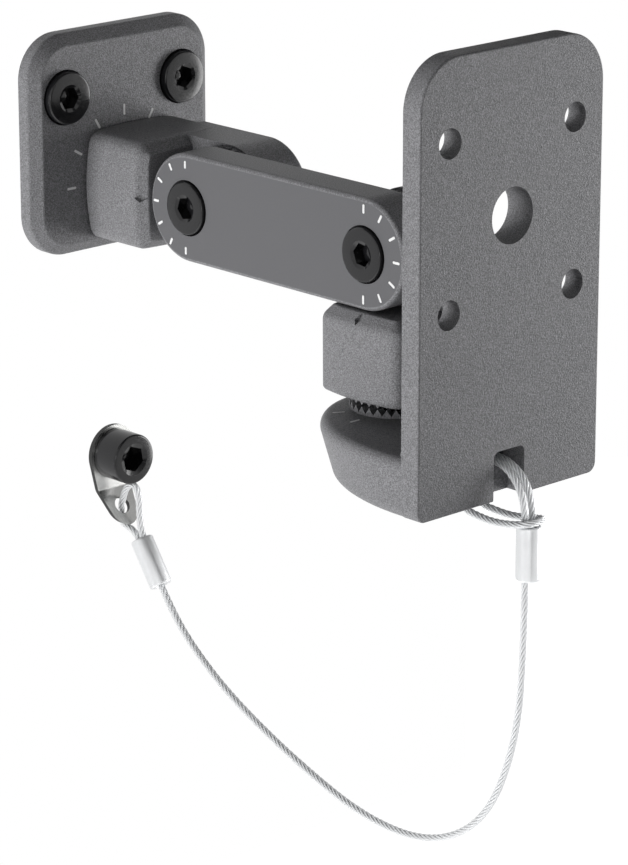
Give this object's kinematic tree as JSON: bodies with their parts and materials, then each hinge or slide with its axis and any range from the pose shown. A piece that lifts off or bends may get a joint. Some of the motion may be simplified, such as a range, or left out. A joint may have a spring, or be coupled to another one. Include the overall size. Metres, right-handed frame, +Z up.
{
  "type": "speaker wall bracket",
  "caption": "Wall plate, flat arm and speaker plate joined by toothed clamp hinges with degree scales, with a wire safety rope from the speaker plate to a wall eyelet.",
  "frame": {"origin": "on the wall, midway between the two wall screws", "axes": "+Y into the wall along the wall screws, +Z up, +X to the right as seen from the room"},
  "size_m": [0.0586, 0.1776, 0.1996],
  "materials": {
    "coat": "fine textured anthracite powder coat on cast aluminium",
    "arm_coat": "anthracite coat, smooth on the flat face and textured round the rim",
    "black_screw": "black oxide, satin",
    "zinc_screw": "bright zinc plate",
    "rope_steel": "bright stranded steel wire",
    "sleeve_metal": "bright pressed aluminium",
    "tab_steel": "polished stainless sheet"
  },
  "bodies": {
    "wall_base": {"wall_plate": "coat", "wall_screws": "black_screw", "eyelet_tab": "tab_steel", "eyelet_screw": "black_screw", "rope_wall_loop": "rope_steel", "wall_sleeve": "sleeve_metal"},
    "wall_turner": {"wall_knuckle": "coat", "wall_hinge_screw": "zinc_screw", "arm_screw_wall_end": "black_screw"},
    "arm_link": {"arm": "arm_coat"},
    "head_turner": {"head_knuckle": "coat", "arm_screw_head_end": "black_screw", "pan_screw": "black_screw"},
    "speaker_carrier": {"speaker_plate": "coat", "rope_hitch": "rope_steel", "hitch_sleeve": "sleeve_metal", "rope_hang": "rope_steel"}
  },
  "joints": [
    {"name": "wall_rotation", "type": "hinge", "parent": "wall_base", "child": "wall_turner", "pos_m": [0, 0, -0.023], "axis": [0, -1, 0], "range_deg": [-90, 90], "deforming": ["rope_hang"]},
    {"name": "arm_tilt", "type": "hinge", "parent": "wall_turner", "child": "arm_link", "pos_m": [0, -0.0402, -0.023], "axis": [-1, 0, 0], "range_deg": [-60, 90], "deforming": ["rope_hang"]},
    {"name": "head_tilt", "type": "hinge", "parent": "arm_link", "child": "head_turner", "pos_m": [0, -0.1015, -0.023], "axis": [-1, 0, 0], "range_deg": [0, 90], "deforming": ["rope_hang"]},
    {"name": "speaker_pan", "type": "hinge", "parent": "head_turner", "child": "speaker_carrier", "pos_m": [0, -0.1015, -0.0614], "axis": [0, 0, 1], "range_deg": [-90, 90], "deforming": ["rope_hang"]}
  ]
}
